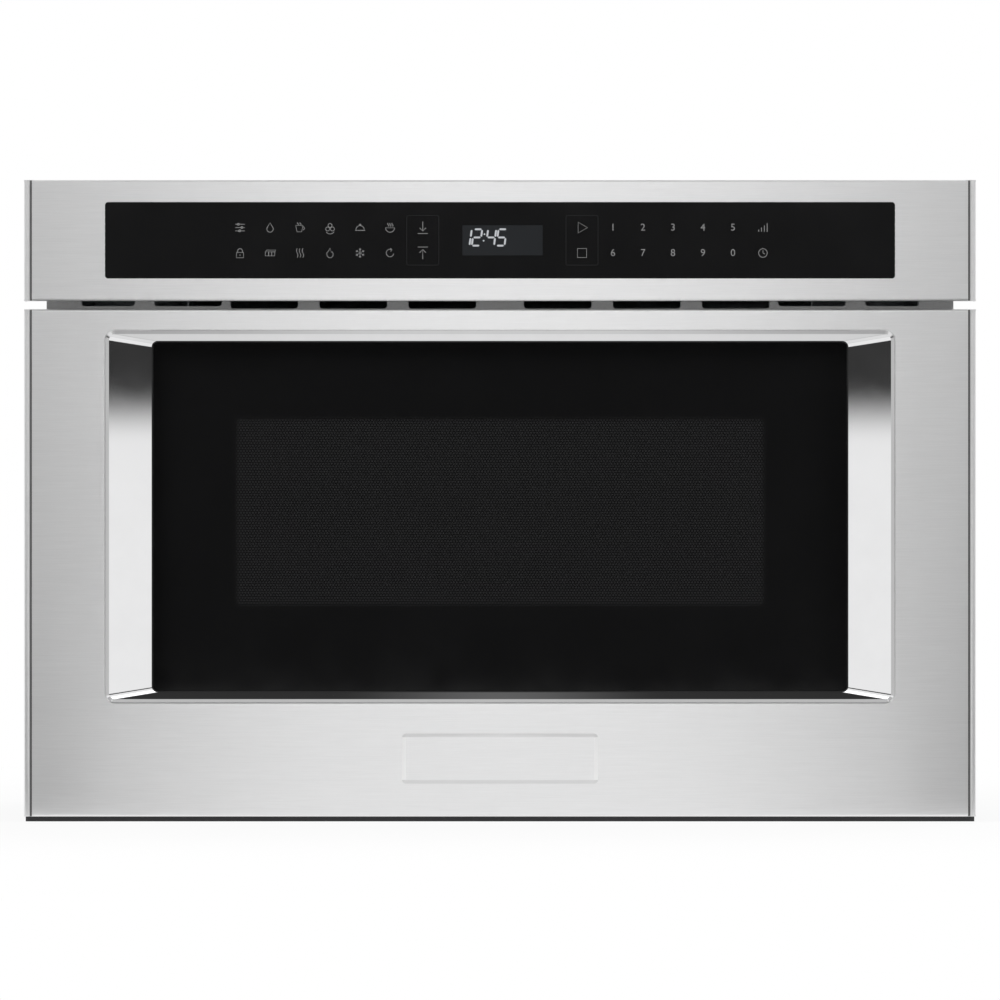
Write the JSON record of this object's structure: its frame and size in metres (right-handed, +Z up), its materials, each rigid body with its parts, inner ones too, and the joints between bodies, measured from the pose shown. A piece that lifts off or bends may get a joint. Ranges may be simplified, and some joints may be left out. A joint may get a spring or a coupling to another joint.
{
  "type": "built-in microwave drawer",
  "caption": "Built-in microwave oven with a motor-driven drawer, touch control panel above a stainless front with a recessed black glass window.",
  "frame": {"origin": "on the cabinet's shelf at the cabinet's front face, on the centre line", "axes": "+X to the user's right, +Y into the cabinet, +Z up"},
  "size_m": [0.606, 0.5942, 0.409],
  "materials": {
    "brushed_steel": "brushed level",
    "polished_steel": "polished",
    "black_glass": "gloss black",
    "window_glass": "clear",
    "perforated_steel": "matt black",
    "galvanised_steel": "zinc coated",
    "oven_steel": "satin",
    "rail_steel": "bright zinc",
    "screw_steel": "zinc plated",
    "black_plastic": "fine texture",
    "grey_paint": "satin grey",
    "nylon": "natural",
    "switch_plastic": "moulded",
    "ceramic_glass": "opaque white",
    "mica": "layered",
    "aluminium": "mill finish",
    "motor_steel": "zinc coated",
    "core_iron": "varnished",
    "copper": "enamelled wire",
    "circuit_board": "solder resist",
    "display": "smoked"
  },
  "bodies": {
    "chassis": {"base_plate": "galvanised_steel", "outer_cover": "galvanised_steel", "rear_panel": "galvanised_steel", "chassis_screws": "screw_steel", "cord_gland": "black_plastic", "front_frame": "galvanised_steel", "vent_grille": "grey_paint", "oven_cavity": "oven_steel", "mica_cover": "mica", "waveguide": "aluminium", "antenna_motor": "motor_steel", "magnetron_body": "motor_steel", "magnetron_fins": "aluminium", "transformer_core": "core_iron", "transformer_coils": "copper", "hv_capacitor": "motor_steel", "fan_shroud": "galvanised_steel", "fan_motor": "motor_steel", "exhaust_duct": "galvanised_steel", "noise_filter": "circuit_board", "oven_lamp": "switch_plastic", "thermal_cutout": "switch_plastic", "control_fascia": "brushed_steel", "control_glass": "black_glass", "touch_panel": "circuit_board", "control_housing": "black_plastic", "display_module": "display", "control_board": "circuit_board", "switch_holders": "black_plastic", "interlock_switches": "switch_plastic", "rail_brackets": "galvanised_steel", "rail_outer": "rail_steel", "drive_bracket": "galvanised_steel", "drive_motor": "motor_steel"},
    "drawer": {"drawer_panel": "brushed_steel", "recess_bezel": "polished_steel", "door_glass": "black_glass", "window_screen": "perforated_steel", "inner_window": "window_glass", "door_frame": "black_plastic", "choke_frame": "oven_steel", "choke_cover": "black_plastic", "badge_plate": "brushed_steel", "drawer_pan": "oven_steel", "floor_plate": "ceramic_glass", "drawer_arms": "rail_steel", "latch_hooks": "black_plastic", "door_screws": "screw_steel", "rail_inner": "rail_steel", "drive_rack": "nylon"},
    "cage_left": {"ball_cage_left": "rail_steel"},
    "cage_right": {"ball_cage_right": "rail_steel"},
    "drive": {"drive_shaft": "rail_steel", "drive_gear": "nylon"},
    "motor_gear": {"motor_pinion": "nylon"},
    "fan": {"fan_blade": "nylon"},
    "stirrer": {"antenna": "aluminium"},
    "switch_left": {"plunger_left": "nylon"},
    "switch_right": {"plunger_right": "nylon"}
  },
  "joints": [
    {"name": "drawer_slide", "type": "slide", "parent": "chassis", "child": "drawer", "axis": [0, -1, 0], "range_m": [0, 0.38]},
    {"name": "cage_left_slide", "type": "slide", "parent": "chassis", "child": "cage_left", "axis": [0, -1, 0], "range_m": [0, 0.19]},
    {"name": "cage_right_slide", "type": "slide", "parent": "chassis", "child": "cage_right", "axis": [0, -1, 0], "range_m": [0, 0.19]},
    {"name": "drive_spin", "type": "hinge", "parent": "chassis", "child": "drive", "pos_m": [0.25, 0.06, 0.08132], "axis": [1, 0, 0], "range_deg": [-5, 1617.8]},
    {"name": "motor_spin", "type": "hinge", "parent": "chassis", "child": "motor_gear", "pos_m": [0.24, 0.076, 0.05361], "axis": [1, 0, 0], "range_deg": [-4843.3, 5]},
    {"name": "fan_spin", "type": "hinge", "parent": "chassis", "child": "fan", "pos_m": [0.087, 0.4854, 0.102], "axis": [1, 0, 0], "continuous": true},
    {"name": "antenna_spin", "type": "hinge", "parent": "chassis", "child": "stirrer", "pos_m": [0, 0.205, 0.07], "axis": [0, 0, 1], "continuous": true},
    {"name": "left_switch_press", "type": "slide", "parent": "chassis", "child": "switch_left", "axis": [0, 1, 0], "range_m": [0, 0.003], "stiffness_N_per_m": 300},
    {"name": "right_switch_press", "type": "slide", "parent": "chassis", "child": "switch_right", "axis": [0, 1, 0], "range_m": [0, 0.003], "stiffness_N_per_m": 300}
  ],
  "couplings": [
    {"joint": "cage_left_slide", "follows": "drawer_slide", "ratio": 0.5},
    {"joint": "cage_right_slide", "follows": "drawer_slide", "ratio": 0.5},
    {"joint": "drive_spin", "follows": "drawer_slide", "rad_per_m": 74.074},
    {"joint": "motor_spin", "follows": "drawer_slide", "rad_per_m": -222.22}
  ]
}
